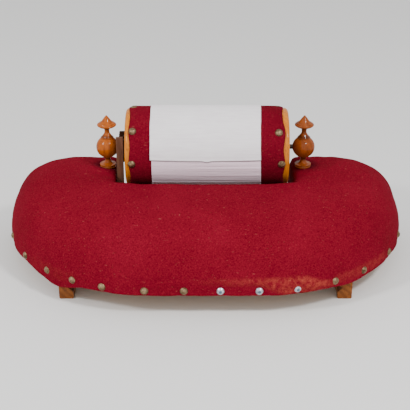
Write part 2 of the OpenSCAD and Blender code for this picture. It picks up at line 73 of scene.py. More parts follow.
joints = {joint["name"]: joint for joint in frame["joints"]}
axis = Vector(joints["roller_turn"]["pos_m"])
cover_low, cover_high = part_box("felt_cover")
board_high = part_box("base_board")[1]
cheek_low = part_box("right_cheek")[0]
sleeve_low, sleeve_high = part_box("roller_felt")
cloth_low, cloth_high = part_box("work_cloth")
rail_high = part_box("front_rail")[1]

FELT = 3 * MM
SOFT_GAP = 0.3 * MM
TACK_SPAN = 14 * MM
hem_z = cover_low.z
crest_z = cover_high.z
half_w = cover_high.x
front_y = cover_low.y
back_y = cover_high.y
recess_x = cheek_low.x - FELT - SOFT_GAP
recess_y = rail_high.y + FELT + SOFT_GAP
recess_floor = board_high.z + SOFT_GAP
roller_r = sleeve_high.z - axis.z


def middle(name):
    """The middle of a CAD node's box."""
    low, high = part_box(name)
    return (low + high) / 2


# ---------------------------------------------------------------- camera, light and floor

LIT_POINT = (0, 0, 0.1)
FLOOR_SIDE = 12


def camera():
    """The photograph's view: from the front, 25 degrees above the horizon, with a long lens."""
    data = bpy.data.cameras.new("camera")
    data.sensor_width = 36
    data.lens = 96.6
    obj = bpy.data.objects.new("camera", data)
    obj.location = axis + Vector((-0.7, -1503.6, 609.2)) * MM
    obj.rotation_euler = Euler((math.radians(64.9), 0, 0))
    scene.collection.objects.link(obj)
    scene.camera = obj


def lamp(name, place, size, power):
    """A square soft box that faces the part."""
    data = bpy.data.lights.new(name, "AREA")
    data.shape = "SQUARE"
    data.size = size
    data.energy = power
    obj = bpy.data.objects.new(name, data)
    obj.location = place
    obj.rotation_euler = (Vector(LIT_POINT) - Vector(place)).to_track_quat("-Z", "Y").to_euler()
    scene.collection.objects.link(obj)


def world(ambient):
    """An even pale sky."""
    made = bpy.data.worlds.new("studio")
    made.use_nodes = True
    light = made.node_tree.nodes["Background"]
    light.inputs["Color"].default_value = (1, 1, 1, 1)
    light.inputs["Strength"].default_value = ambient
    scene.world = made


def floor():
    """A plain pale floor, wide enough to fill the view."""
    mesh = bpy.data.meshes.new("floor")
    side = FLOOR_SIDE
    mesh.from_pydata([(-side, -side, 0), (side, -side, 0), (side, side, 0), (-side, side, 0)], [], [(0, 1, 2, 3)])
    obj = bpy.data.objects.new("floor", mesh)
    scene.collection.objects.link(obj)
    look = Look("floor_paper")
    look.set("Base Color", (0.78, 0.775, 0.765, 1))
    look.set("Roughness", 0.8)
    mesh.materials.append(look.material)


# ---------------------------------------------------------------- materials

def srgb(red, green, blue):
    """A colour as it is seen, from 0 to 255, as the linear value that a shader takes."""
    def linear(value):
        value /= 255
        return value / 12.92 if value <= 0.04045 else ((value + 0.055) / 1.055) ** 2.4
    return (linear(red), linear(green), linear(blue), 1)


class Look:
    """A procedural material: one Principled shader and the nodes that feed it."""

    def __init__(self, name):
        self.material = bpy.data.materials.new(name)
        self.material.use_nodes = True
        self.tree = self.material.node_tree
        self.shader = self.tree.nodes["Principled BSDF"]
        self.place = self.node("ShaderNodeTexCoord").outputs["Object"]

    def node(self, kind, **settings):
        made = self.tree.nodes.new(kind)
        for name, value in settings.items():
            setattr(made, name, value)
        return made

    def feed(self, socket, value):
        """Puts a constant into a socket, or links an output to it."""
        if isinstance(value, bpy.types.NodeSocket):
            self.tree.links.new(value, socket)
        elif value is not None:
            socket.default_value = value

    def set(self, name, value):
        self.feed(self.shader.inputs[name], value)

    def stretched(self, scale, turn=(0, 0, 0), shift=(0, 0, 0)):
        """Object coordinates, scaled, turned and shifted."""
        made = self.node("ShaderNodeMapping")
        self.feed(made.inputs["Vector"], self.place)
        made.inputs["Scale"].default_value = scale
        made.inputs["Rotation"].default_value = turn
        made.inputs["Location"].default_value = shift
        return made.outputs["Vector"]

    def noise(self, scale, detail=4, rough=0.55, distortion=0, place=None):
        made = self.node("ShaderNodeTexNoise")
        self.feed(made.inputs["Vector"], place or self.place)
        made.inputs["Scale"].default_value = scale
        made.inputs["Detail"].default_value = detail
        made.inputs["Roughness"].default_value = rough
        made.inputs["Distortion"].default_value = distortion
        return made.outputs["Fac"]

    def waves(self, scale, distortion, detail=2, place=None, direction="X"):
        made = self.node("ShaderNodeTexWave", bands_direction=direction)
        self.feed(made.inputs["Vector"], place or self.place)
        made.inputs["Scale"].default_value = scale
        made.inputs["Distortion"].default_value = distortion
        made.inputs["Detail"].default_value = detail
        return made.outputs["Fac"]

    def ramp(self, factor, *stops):
        """A colour ramp through (position, colour) stops, or through (position, value) stops."""
        made = self.node("ShaderNodeValToRGB")
        line = made.color_ramp
        while len(line.elements) < len(stops):
            line.elements.new(1)
        for element, (position, colour) in zip(line.elements, stops):
            element.position = position
            element.color = colour if hasattr(colour, "__len__") else (colour, colour, colour, 1)
        self.feed(made.inputs["Fac"], factor)
        return made.outputs["Color"]

    def mix(self, factor, first, second):
        made = self.node("ShaderNodeMix", data_type="RGBA")
        share, one, other = (s for s in made.inputs if s.enabled)
        self.feed(share, factor)
        self.feed(one, first)
        self.feed(other, second)
        return next(s for s in made.outputs if s.enabled)

    def math(self, operation, first, second):
        made = self.node("ShaderNodeMath", operation=operation)
        for socket, value in zip(made.inputs, (first, second)):
            self.feed(socket, value)
        return made.outputs[0]

    def along(self, direction):
        """One object coordinate: X, Y or Z."""
        made = self.node("ShaderNodeSeparateXYZ")
        self.feed(made.inputs[0], self.place)
        return made.outputs[direction]

    def band(self, value, low, high, soft):
        """1 between low and high, 0 outside, with soft edges."""
        up = self.node("ShaderNodeMapRange", interpolation_type="SMOOTHSTEP")
        down = self.node("ShaderNodeMapRange", interpolation_type="SMOOTHSTEP")
        for made, edge in ((up, low), (down, high)):
            self.feed(made.inputs["Value"], value)
            made.inputs["From Min"].default_value = edge - soft
            made.inputs["From Max"].default_value = edge + soft
        return self.math("SUBTRACT", up.outputs[0], down.outputs[0])

    def attribute(self, name, output="Fac"):
        made = self.node("ShaderNodeAttribute", attribute_name=name)
        return made.outputs[output]

    def bump(self, height, distance, strength=1, over=None):
        made = self.node("ShaderNodeBump")
        self.feed(made.inputs["Height"], height)
        made.inputs["Distance"].default_value = distance
        made.inputs["Strength"].default_value = strength
        self.feed(made.inputs["Normal"], over)
        return made.outputs["Normal"]


def felt_look(name, depth):
    """Crimson wool felt: mottled dye, fibre fuzz and lint. Attribute 'faded' bleaches it, and a second attribute
    darkens it with painted shade.
    """
    look = Look(name)

    def dyed(red, green, blue):
        return srgb(depth * red, depth * green, depth * blue)

    clouds = look.noise(14, 6, 0.6)
    dye = look.ramp(clouds, (0.3, dyed(106, 9, 27)), (0.55, dyed(116, 12, 32)), (0.8, dyed(127, 17, 38)))
    fuzz = look.noise(620, 4, 0.75)
    dye = look.mix(look.ramp(fuzz, (0.45, 0.0), (0.72, 0.7)), dye, dyed(160, 34, 50))
    dark = look.noise(430, 4, 0.75)
    dye = look.mix(look.ramp(dark, (0.32, 0.65), (0.52, 0.0)), dye, dyed(84, 3, 16))
    wear_and_reflection = look.noise(130, 6, 0.7)
    bleach = look.math("MULTIPLY", look.attribute("faded"), look.ramp(wear_and_reflection, (0.4, 0.05), (0.62, 0.85)))
    bleach = look.math("MULTIPLY", bleach, look.ramp(fuzz, (0.35, 0.35), (0.65, 1.0)))
    dye = look.mix(bleach, dye, srgb(170, 72, 55))
    # Painted shade: the dye darkens where the second attribute says, in the hollows and on the recess walls.
    dye = look.mix(look.attribute("painted_shade"), dye, dyed(52, 3, 12))
    lint = look.noise(420, 2, 0.5, place=look.stretched((1, 0.35, 1.8), (0.4, 0.2, 0.9)))
    hairs = look.noise(420, 2, 0.5, place=look.stretched((0.3, 1.2, 1), (0.9, 0.5, 0.1), (0.3, 0.1, 0.2)))
    strands = look.math("MAXIMUM", look.ramp(lint, (0.7, 0.0), (0.8, 0.3)), look.ramp(hairs, (0.7, 0.0), (0.8, 0.3)))
    dye = look.mix(strands, dye, srgb(206, 118, 104))
    look.set("Base Color", dye)
    look.set("Roughness", 0.95)
    look.set("Specular IOR Level", 0.02)
    pile = look.bump(look.noise(700, 5, 0.75), 0.6 * MM, 0.8)
    look.set("Normal", look.bump(look.noise(160, 4, 0.6), 0.8 * MM, 0.35, pile))
    return look.material


def cotton_look():
    """Plain weave white cotton, a little creased, with painted shade in its creases and pleats, painted pink light
    thrown back by the felt on its single lower layer, and a painted shadow under the lap's edge.
    """
    look = Look("cotton_weave")
    tone = look.ramp(look.noise(20, 5, 0.6), (0.3, srgb(232, 226, 228)), (0.7, srgb(240, 236, 237)))
    creases = look.noise(30, 4, 0.6, place=look.stretched((1, 14, 14)))
    # Painted shade in the creases.
    tone = look.mix(look.ramp(creases, (0.35, 0.35), (0.6, 0.0)), tone, srgb(216, 203, 212))
    # Painted light: a pink glow thrown back by the red felt onto the single lower layer.
    tone = look.mix(look.attribute("single"), tone, srgb(238, 216, 226))
    # Painted shade in the pleats of the lower layer, tinted pink.
    pleats = look.ramp(look.waves(150, 5, 3, place=look.attribute("wrap", "Vector")), (0.55, 0.0), (0.95, 0.4))
    tone = look.mix(look.math("MULTIPLY", look.attribute("single"), pleats), tone, srgb(196, 168, 184))
    # Painted shadow: a dark line just under the upper layer's end.
    lap_shadow = look.ramp(look.attribute("lap"), (0.1, 0.0), (0.9, 0.8))
    look.set("Base Color", look.mix(lap_shadow, tone, srgb(112, 82, 94)))
    look.set("Roughness", 0.85)
    look.set("Specular IOR Level", 0.25)
    look.set("Sheen Weight", 0.12)
    look.set("Sheen Roughness", 0.5)
    warp = look.waves(560, 0.6)
    weft = look.waves(480, 0.6, place=look.attribute("wrap", "Vector"))
    weave = look.bump(look.math("MULTIPLY", warp, weft), 0.12 * MM, 0.5)
    look.set("Normal", look.bump(creases, 0.5 * MM, 0.3, weave))
    return look.material


def wood_look(name, light, dark, grain, coat=0.0, rough=0.5, figure=1.0, dirt=None):
    """Wood with its grain along X, Y or Z: growth bands, fine pores and, with coat, a varnish."""
    look = Look(name)
    across = {"X": (0.08, 1, 1), "Y": (1, 0.08, 1), "Z": (1, 1, 0.08)}[grain]
    place = look.stretched(across)
    sway = look.noise(40, 3, 0.5, 0.4, place=place)
    rings = look.waves(55, 6, 3, place=place, direction="DIAGONAL")
    tone = look.mix(look.ramp(rings, (0.15, 0.0), (0.9, 0.65 * figure)), light, dark)
    tone = look.mix(look.ramp(sway, (0.35, 0.5 * figure), (0.65, 0.0)), tone, dark)
    pores = look.noise(1500, 2, 0.5, place=look.stretched(tuple(0.4 * a for a in across)))
    shade = tuple(0.35 * c for c in dark[:3]) + (1,)
    tone = look.mix(look.ramp(pores, (0.3, 0.45), (0.45, 0.0)), tone, shade)
    if dirt:
        tone = look.mix(dirt(look), tone, shade)
    look.set("Base Color", tone)
    look.set("Roughness", rough)
    look.set("Specular IOR Level", 0.08)
    look.set("Coat Weight", coat)
    look.set("Coat Roughness", 0.06)
    look.set("Normal", look.bump(pores, 0.08 * MM, 0.35))
    return look.material


def metal_look(name, bright, stain, rough=0.35, spots=180, wear_and_reflection=None):
    """A metal with tarnish in patches and fine scratches, and, where the named attribute says so, a darker blue-grey
    middle that is partly wear and partly a painted reflection.
    """
    look = Look(name)
    patches = look.noise(spots, 5, 0.65)
    tone = look.ramp(patches, (0.38, stain), (0.6, bright))
    if wear_and_reflection:
        # The heads' darker blue-grey middle: partly wear, partly a painted reflection.
        tone = look.mix(look.ramp(look.attribute(wear_and_reflection), (0.12, 0.0), (0.5, 0.9)), tone, srgb(78, 102, 118))
    look.set("Base Color", tone)
    look.set("Metallic", 1.0)
    look.set("Roughness", look.ramp(patches, (0.35, min(rough + 0.25, 1)), (0.65, rough)))
    scratches = look.noise(900, 3, 0.6, place=look.stretched((1, 0.15, 1), (0.3, 0.5, 0.8)))
    look.set("Normal", look.bump(scratches, 0.05 * MM, 0.4))
    return look.material


def straw_look():
    """Packed straw: crossing pale stalks."""
    look = Look("packed_straw")
    one = look.noise(300, 3, 0.5, place=look.stretched((0.12, 1, 1), (0.2, 0.1, 0.5)))
    two = look.noise(300, 3, 0.5, place=look.stretched((1, 0.12, 1), (0.4, 0.3, 0.2)))
    stalks = look.math("MAXIMUM", one, two)
    look.set("Base Color", look.ramp(stalks, (0.4, srgb(112, 84, 38)), (0.7, srgb(206, 178, 112))))
    look.set("Roughness", 0.8)
    look.set("Normal", look.bump(stalks, 1.5 * MM, 0.6))
    return look.material


# ---------------------------------------------------------------- mesh helpers

def linked(name, mesh):
    obj = bpy.data.objects.new(name, mesh)
    scene.collection.objects.link(obj)
    return obj


def baked(obj):
    """The object with all its modifiers applied."""
    graph = bpy.context.evaluated_depsgraph_get()
    mesh = bpy.data.meshes.new_from_object(obj.evaluated_get(graph), preserve_all_data_layers=True, depsgraph=graph)
    old = obj.data
    obj.modifiers.clear()
    obj.data = mesh
    bpy.data.meshes.remove(old)
    return obj


def modify(obj, kind, **settings):
    made = obj.modifiers.new(kind.lower(), kind)
    for name, value in settings.items():
        setattr(made, name, value)
    return made


def points_of(mesh):
    flat = np.empty(len(mesh.vertices) * 3)
    mesh.vertices.foreach_get("co", flat)
    return flat.reshape(-1, 3)


def normals_of(mesh):
    flat = np.empty(len(mesh.vertices) * 3)
    mesh.vertex_normals.foreach_get("vector", flat)
    return flat.reshape(-1, 3)


def move_points(mesh, points):
    mesh.vertices.foreach_set("co", points.ravel())
    mesh.update()


def smooth_shaded(obj):
    obj.data.polygons.foreach_set("use_smooth", [True] * len(obj.data.polygons))
    return obj


def lumps(points, size, seed):
    """Smooth noise from about -1 to 1, with lumps of that size."""
    shift = Vector((seed * 7.31, seed * 3.77, seed * 5.13))
    return np.array([noise.noise(Vector(p) / size + shift) for p in points]) * 1.6


def ease(value, low, high):
    """0 below low and 1 above high, smooth between."""
    t = np.clip((value - low) / (high - low), 0, 1)
    return t * t * (3 - 2 * t)


def islands(mesh):
    """The points of each loose part of a mesh."""
    parent = list(range(len(mesh.vertices)))

    def root(i):
        while parent[i] != i:
            parent[i] = parent[parent[i]]
            i = parent[i]
        return i

    for edge in mesh.edges:
        a, b = root(edge.vertices[0]), root(edge.vertices[1])
        parent[a] = b
    roots = np.array([root(i) for i in range(len(parent))])
    points = points_of(mesh)
    return [points[roots == r] for r in np.unique(roots)]


def studs(mesh):
    """The points of each tack of a node, whose faces are loose from each other."""
    found = []
    for part in islands(mesh):
        centre = part.mean(axis=0)
        home = [k for k, other in enumerate(found) if np.linalg.norm(other.mean(axis=0) - centre) < TACK_SPAN]
        if home:
            found[home[0]] = np.vstack((found[home[0]], part))
        else:
            found.append(part)
    return found


def finish_piece(obj, body, slot_name, material, *replaced):
    """Gives a piece its material and body, and hides the CAD nodes that it stands for; its slot name is not used."""
    obj.data.materials.clear()
    obj.data.materials.append(material)
    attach(obj, body)
    if replaced:
        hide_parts(*replaced)
    return obj


# ---------------------------------------------------------------- the pillow

FRONT_CORNER = 220 * MM
BACK_CORNER = 42 * MM
FRONT_ROLL = 125 * MM
BACK_ROLL = 48 * MM
FULLNESS = 2.7
CORNER_DRAW = 5 * MM
RIDGE_TURN = math.radians(42)
FOOT_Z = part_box("left_post")[0].z + 30 * MM


def crown(room, floor_z):
    """The stuffed D as a convex mesh over rings that draw in as they rise, with room left for it to swell."""
    made = bmesh.new()
    steps = 22
    run, turn_y = half_w - FRONT_CORNER, front_y + FRONT_CORNER
    for i in range(steps + 1):
        turn = math.pi / 2 * (i / steps) ** 1.6
        swell, rise = math.cos(turn) ** (2 / FULLNESS), math.sin(turn) ** (2 / FULLNESS)
        inset = room * min(rise / 0.6, 1)
        in_front = inset + (FRONT_ROLL - inset) * (1 - swell)
        in_back = inset + (BACK_ROLL - inset) * (1 - swell)
        z = floor_z if i == 0 else hem_z + (crest_z - inset - hem_z) * rise
        front_r = FRONT_CORNER - in_front
        back_r = min(BACK_CORNER - inset + CORNER_DRAW * (1 - swell), 0.45 * (back_y - front_y - in_front - in_back))
        cy = back_y - in_back - back_r
        low = min(cy - turn_y, 0)
        cx = run + math.sqrt((front_r - back_r) ** 2 - low ** 2)
        meet = math.degrees(math.atan2(low, cx - run))
        for x, y, r, start, end in ((run, turn_y, front_r, -90, meet), (cx, cy, back_r, meet, 90)):
            for k in range(25):
                a = math.radians(start + (end - start) * k / 24)
                for side in (-1, 1):
                    made.verts.new((side * (x + r * math.cos(a)), y + r * math.sin(a), z))
    bmesh.ops.convex_hull(made, input=made.verts)
    loose = [v for v in made.verts if not v.link_faces]
    bmesh.ops.delete(made, geom=loose, context="VERTS")
    mesh = bpy.data.meshes.new("crown")
    made.to_mesh(mesh)
    made.free()
    return mesh


def block(low, high):
    """A box mesh, used only to cut with."""
    made = bmesh.new()
    bmesh.ops.create_cube(made, size=1)
    low, high = Vector(low), Vector(high)
    for v in made.verts:
        v.co = Vector([low[k] + (v.co[k] + 0.5) * (high[k] - low[k]) for k in range(3)])
    mesh = bpy.data.meshes.new("block")
    made.to_mesh(mesh)
    made.free()
    return mesh


def ledge_cutters():
    """The two forms that lower the lobes: a slope from the ridge line to the post, and level behind it."""
    post = middle("right_post")
    reach = (axis.y - recess_y) * math.cos(RIDGE_TURN) - (post.x - recess_x) * math.sin(RIDGE_TURN)
    profile = ((0, 0), (reach, FOOT_Z - crest_z), (0.2, FOOT_Z - crest_z), (0.2, 0.1), (0, 0.1))
    turned = Euler((0, 0, RIDGE_TURN))
    made = []
    for side in (1, -1):
        form = bmesh.new()
        ends = []
        for along in (0, 0.6):
            ring = []
            for across, up in profile:
                p = Vector((along, across, up))
                p.rotate(turned)
                p += Vector((recess_x, recess_y, crest_z))
                ring.append(form.verts.new((side * p.x, p.y, p.z)))
            ends.append(ring)
        count = len(profile)
        form.faces.new(ends[0])
        form.faces.new(ends[1])
        for k in range(count):
            n = (k + 1) % count
            form.faces.new((ends[0][k], ends[0][n], ends[1][n], ends[1][k]))
        bmesh.ops.recalc_face_normals(form, faces=form.faces)
        mesh = bpy.data.meshes.new("ledge")
        form.to_mesh(mesh)
        form.free()
        made.append(mesh)
    return made


def plan_place(point):
    """How far inside the pillow's plan outline a point lies, and the outward direction there."""
    x, y = abs(point[0]), point[1]
    sign = math.copysign(1, point[0])
    run, turn_y = half_w - FRONT_CORNER, front_y + FRONT_CORNER
    if y < turn_y and x > run:
        out = Vector((x - run, y - turn_y, 0))
        depth = FRONT_CORNER - out.length
    elif y > back_y - BACK_CORNER and x > half_w - BACK_CORNER:
        out = Vector((x - half_w + BACK_CORNER, y - back_y + BACK_CORNER, 0))
        depth = BACK_CORNER - out.length
    else:
        depth, out = min((y - front_y, (0, -1, 0)), (half_w - x, (1, 0, 0)), (back_y - y, (0, 1, 0)))
        out = Vector(out)
    out.normalize()
    out.x *= sign
    return depth, out


VOXEL = 5 * MM
SKIRT = 20 * MM
ROOM = 3 * MM
BACK_STRIP = 5 * MM
SIMULATED_FRAMES = 20
MOST_SWELL = 7 * MM


def cut_crown(room):
    """The pillow's form with its recess and ledges, sharp edged."""
    body = linked("pillow_felt", crown(room, hem_z - SKIRT))
    low = recess_floor - BACK_STRIP
    recess = block((-recess_x, recess_y, low), (recess_x, back_y + 0.1, crest_z + 0.1))
    cutters = [recess, *ledge_cutters()]
    helpers = [linked("cutter", mesh) for mesh in cutters]
    for helper in helpers:
        modify(body, "BOOLEAN", operation="DIFFERENCE", object=helper, solver="EXACT")
    baked(body)
    for helper in helpers:
        bpy.data.meshes.remove(helper.data)
    return body


def rough_pillow():
    """The form a little small, remeshed evenly and softened."""
    body = cut_crown(ROOM)
    modify(body, "REMESH", mode="VOXEL", voxel_size=VOXEL)
    modify(body, "SMOOTH", factor=0.5, iterations=9)
    return baked(body)


def hem_tacks():
    """Place and outward direction of every tack round the hem, from the CAD tacks."""
    found = []
    for name in ("brass_tacks", "nickel_tacks"):
        for points in studs(nodes[name].data):
            centre = points.mean(axis=0)
            out = plan_place(centre)[1]
            head = points[np.argmax(points @ np.array(out))]
            found.append((head - FELT * np.array(out), np.array(out)))
    return found


def tack_nearness(points, tacks, reach):
    """1 at a tack, falling to 0 over about that reach."""
    near = np.zeros(len(points))
    for place, _ in tacks:
        away = np.linalg.norm(points - place, axis=1)
        near = np.maximum(near, np.exp(-(away / reach) ** 2))
    return near


def held_back(points, tacks):
    """How firmly each point is held while the stuffing swells: the skirt, the recess walls and the tacks."""
    skirt = 0.6 * (1 - ease(points[:, 2], hem_z - 6 * MM, hem_z + 12 * MM))
    below = 1 - ease(points[:, 2], hem_z - 12 * MM, hem_z - 2 * MM)
    in_recess = (np.abs(points[:, 0]) < recess_x + 4 * MM) & (points[:, 1] > recess_y - 4 * MM)
    wall = in_recess * (1 - ease(points[:, 2], crest_z - 22 * MM, crest_z - 8 * MM))
    return np.maximum.reduce([skirt, below, wall, tack_nearness(points, tacks, 8 * MM)])


def stuffed(body, tacks):
    """Swells the form with cloth simulation, pressed out from inside, and caps how far it moves."""
    mesh = body.data
    start = points_of(mesh)
    hold = held_back(start, tacks)
    group = body.vertex_groups.new(name="held")
    for i, weight in enumerate(hold):
        group.add([i], float(weight), "REPLACE")
    cloth = body.modifiers.new("stuffing", "CLOTH")
    settings = cloth.settings
    settings.quality = 4
    settings.mass = 0.4
    settings.tension_stiffness = settings.compression_stiffness = 12
    settings.shear_stiffness = 6
    settings.bending_stiffness = 1
    settings.use_pressure = True
    settings.uniform_pressure_force = 8
    settings.effector_weights.gravity = 0
    settings.vertex_group_mass = "held"
    cloth.collision_settings.use_collision = False
    for step in range(1, SIMULATED_FRAMES + 1):
        scene.frame_set(step)
    graph = bpy.context.evaluated_depsgraph_get()
    swollen = points_of(body.evaluated_get(graph).to_mesh())
    body.modifiers.clear()
    scene.frame_set(1)
    moved = swollen - start
    far = np.linalg.norm(moved, axis=1)
    cap = MOST_SWELL * (1 - hold)
    scale = cap * np.tanh(far / np.maximum(cap, 1e-6)) / np.maximum(far, 1e-9)
    move_points(mesh, start + moved * scale[:, None])
    return body


def spread_out(mesh, values, rounds):
    """Averages a value over the mesh, neighbour by neighbour."""
    pairs = np.empty(len(mesh.edges) * 2, np.int32)
    mesh.edges.foreach_get("vertices", pairs)
    one, other = pairs.reshape(-1, 2).T
    count = np.bincount(one, minlength=len(values)) + np.bincount(other, minlength=len(values))
    for _ in range(rounds):
        total = np.bincount(one, values[other], len(values)) + np.bincount(other, values[one], len(values))
        values = 0.5 * values + 0.5 * total / np.maximum(count, 1)
    return values


def settled(body):
    """Moves the swollen felt so that its broad shape is the pillow's own, and keeps its small bulges."""
    sharp = cut_crown(0)
    tree = BVHTree.FromPolygons([v.co for v in sharp.data.vertices], [p.vertices for p in sharp.data.polygons])
    bpy.data.meshes.remove(sharp.data)
    mesh = body.data
    points, normals = points_of(mesh), normals_of(mesh)
    off = np.empty(len(points))
    for i, p in enumerate(points):
        place, out = tree.find_nearest(Vector(p))[:2]
        off[i] = (Vector(p) - place).dot(out)
    x, y = points.T[:2]
    rim = np.maximum(np.abs(x) - recess_x, recess_y - y)
    free = ease(rim, 0, 12 * MM)
    off = spread_out(mesh, off, 60)
    move_points(mesh, points - normals * (off * free)[:, None])
    return body


def cut_to_hem(body):
    """Cuts the form at the hem and opens it where the board lies, which leaves only the felt's outer skin."""
    made = bmesh.new()
    made.from_mesh(body.data)
    everything = made.verts[:] + made.edges[:] + made.faces[:]
    bmesh.ops.bisect_plane(made, geom=everything, plane_co=(0, 0, hem_z), plane_no=(0, 0, 1), clear_inner=True)
    everything = made.verts[:] + made.edges[:] + made.faces[:]
    bmesh.ops.bisect_plane(made, geom=everything, plane_co=(0, 0, recess_floor), plane_no=(0, 0, 1))
    board_back = board_high.y
    sunk = [f for f in made.faces
            if f.calc_center_median().z < recess_floor and abs(f.calc_center_median().x) < recess_x + 8 * MM
            and recess_y - 8 * MM < f.calc_center_median().y < board_back]
    bmesh.ops.delete(made, geom=sunk, context="FACES")
    made.to_mesh(body.data)
    made.free()
    return body


def slack_hem(points):
    """How far the hem hangs below the board at its front corners, most at the left."""
    x, y = points.T[:2]
    left = 9 * MM * ease(-x, 160 * MM, 202 * MM) * (1 - ease(-x, 206 * MM, 250 * MM))
    right = 3 * MM * ease(x, 150 * MM, 196 * MM) * (1 - ease(x, 206 * MM, 244 * MM))
    return np.maximum(left, right) * (y < 0)


def gathered(points, tacks):
    """Bulges the felt out between the tacks, and draws it into short folds that fan out above each head."""
    near = tack_nearness(points, tacks, 17 * MM)
    low = 1 - ease(points[:, 2], hem_z + 8 * MM, hem_z + 40 * MM)
    out_ward = np.array([plan_place(p)[1] for p in points])
    moved = out_ward * ((1.5 * MM * (1 - near) - 0.2 * MM) * low)[:, None]
    moved[:, 2] += 0.4 * MM * (1 - ease(points[:, 2], hem_z, hem_z + 14 * MM))
    hang = slack_hem(points) * (1 - ease(points[:, 2], hem_z, hem_z + 26 * MM))
    moved += out_ward * (0.2 * hang)[:, None]
    moved[:, 2] -= hang
    for number, (place, out) in enumerate(tacks):
        away = points - place
        side = np.cross((0, 0, 1), out)
        across, up = away @ side, away[:, 2]
        distance = np.hypot(across, up) + np.abs(away @ out) * 0.5
        close = distance < 45 * MM
        angle = np.arctan2(across[close], up[close])
        ring = np.exp(-((distance[close] - 14 * MM) / (8 * MM)) ** 2)
        moved[close] += (0.28 * MM * np.cos(angle * 6 + number * 1.7) * ring)[:, None] * out
    return moved


def full_rim(points):
    """How far the stuffing lifts the felt along the recess's front edge, most at its two ends."""
    x, y, z = points.T
    high = ease(z, crest_z - 24 * MM, crest_z - 6 * MM)
    along = 1.3 * MM + 2.4 * MM * ease(np.abs(x), 84 * MM, 122 * MM)
    near = np.exp(-(np.maximum(recess_y - y, 0) / (24 * MM)) ** 2)
    near *= 1 - ease(y, recess_y + 4 * MM, recess_y + 26 * MM)
    return along * high * near * (1 - ease(np.abs(x), recess_x + 4 * MM, recess_x + 34 * MM))


def upholstered(points, normals, tacks):
    """Where each point of the felt's skin goes: lumps in the stuffing, the hem's scallops, folds and dents."""
    x, y, z = points.T
    wall = (np.abs(x) < recess_x + 3 * MM) & (y > recess_y - 3 * MM)
    free = np.where(wall, 0.25, 1.0) * (0.4 + 0.6 * ease(z, hem_z + 10 * MM, hem_z + 34 * MM))
    swell = 0.9 * MM * lumps(points, 62 * MM, 1) + 0.4 * MM * lumps(points, 21 * MM, 2)
    board_edge = board_high.z + 6 * MM + 1.5 * MM * lumps(points, 70 * MM, 5)
    crease = -0.7 * MM * np.exp(-((z - board_edge) / (2.2 * MM)) ** 2)
    crease *= np.clip(0.55 + 0.6 * lumps(points, 90 * MM, 4), 0, 1) * (~wall)
    moved = normals * (swell * free + crease)[:, None]
    on_outside = plan_depth(points) < 40 * MM
    moved[on_outside] += gathered(points[on_outside], tacks)
    for name in ("left_post", "right_post"):
        post = middle(name)
        away = np.hypot(x - post.x, y - post.y)
        swollen = (2.5 if post.x < 0 else 0.4) * MM * np.exp(-((away - 22 * MM) / (9 * MM)) ** 2)
        swollen *= ease(post.y - y, -4 * MM, 8 * MM)
        under_foot = 1.5 * MM * (1 - ease(away, 12 * MM, 15 * MM))
        moved[:, 2] += np.where(z > crest_z - 30 * MM, swollen - under_foot, 0)
    moved[:, 2] += full_rim(points)
    edge = np.exp(-((np.abs(x) - recess_x) / (6 * MM)) ** 2) * ease(z, FOOT_Z - 16 * MM, FOOT_Z - 6 * MM)
    edge *= ease(y, recess_y + 6 * MM, recess_y + 22 * MM)
    moved[:, 2] += 1.1 * MM * edge
    moved[:, 0] -= 1.1 * MM * edge * np.sign(x)
    bulging = ease(z, recess_floor + 8 * MM, recess_floor + 30 * MM)
    bulging *= 1 - ease(z, crest_z - 26 * MM, crest_z - 4 * MM)
    right_wall = (np.abs(x - recess_x) < 8 * MM) * ease(y, recess_y + 4 * MM, recess_y + 24 * MM)
    moved[:, 0] -= 4.5 * MM * bulging * right_wall * (1 - ease(y, back_y - 22 * MM, back_y - 6 * MM))
    fold = fold_weight(points)
    moved[:, 1] -= 2.4 * MM * fold
    moved[:, 2] -= 0.8 * MM * fold
    return points + moved


def plan_depth(points):
    return np.array([plan_place(p)[0] for p in points])


def loose_roll(points):
    """Lower and upper edge of the loose roll of felt at the front, right of the middle, and its share there."""
    x = points[:, 0]
    share = ease(x, -30 * MM, 125 * MM) * (1 - ease(x, 158 * MM, 192 * MM))
    top = hem_z + 26 * MM - 15 * MM * ease(x, 122 * MM, 178 * MM)
    bottom = hem_z + 16 * MM - 14 * MM * ease(x, 68 * MM, 110 * MM)
    return bottom, top, share * (points[:, 1] < front_y + 75 * MM)


def fold_weight(points):
    """The swell of the loose roll."""
    bottom, top, share = loose_roll(points)
    middle_z, half = (bottom + top) / 2, (top - bottom) / 2
    return share * np.exp(-((points[:, 2] - middle_z) / (0.8 * half)) ** 2)


def fade_weight(points):
    """How much of the dye has gone: most on the loose roll, a little along the hem at both front corners."""
    x, y, z = points.T
    bottom, top, share = loose_roll(points)
    roll = share * ease(z, bottom - 4 * MM, bottom + 4 * MM) * (1 - ease(z, top - 2.5 * MM, top + 1 * MM))
    band = ease(z, hem_z, hem_z + 6 * MM) * (1 - ease(z, hem_z + 14 * MM, hem_z + 20 * MM))
    left = 0.16 * ease(-x, 172 * MM, 190 * MM) * (1 - ease(-x, 225 * MM, 250 * MM))
    corner = 0.45 * ease(x, 170 * MM, 190 * MM) * (1 - ease(x, 240 * MM, 270 * MM))
    front = 1 - ease(y, front_y + 90 * MM, front_y + 150 * MM)
    return np.clip(np.maximum(roll, band * np.maximum(left, corner)) * front, 0, 1)


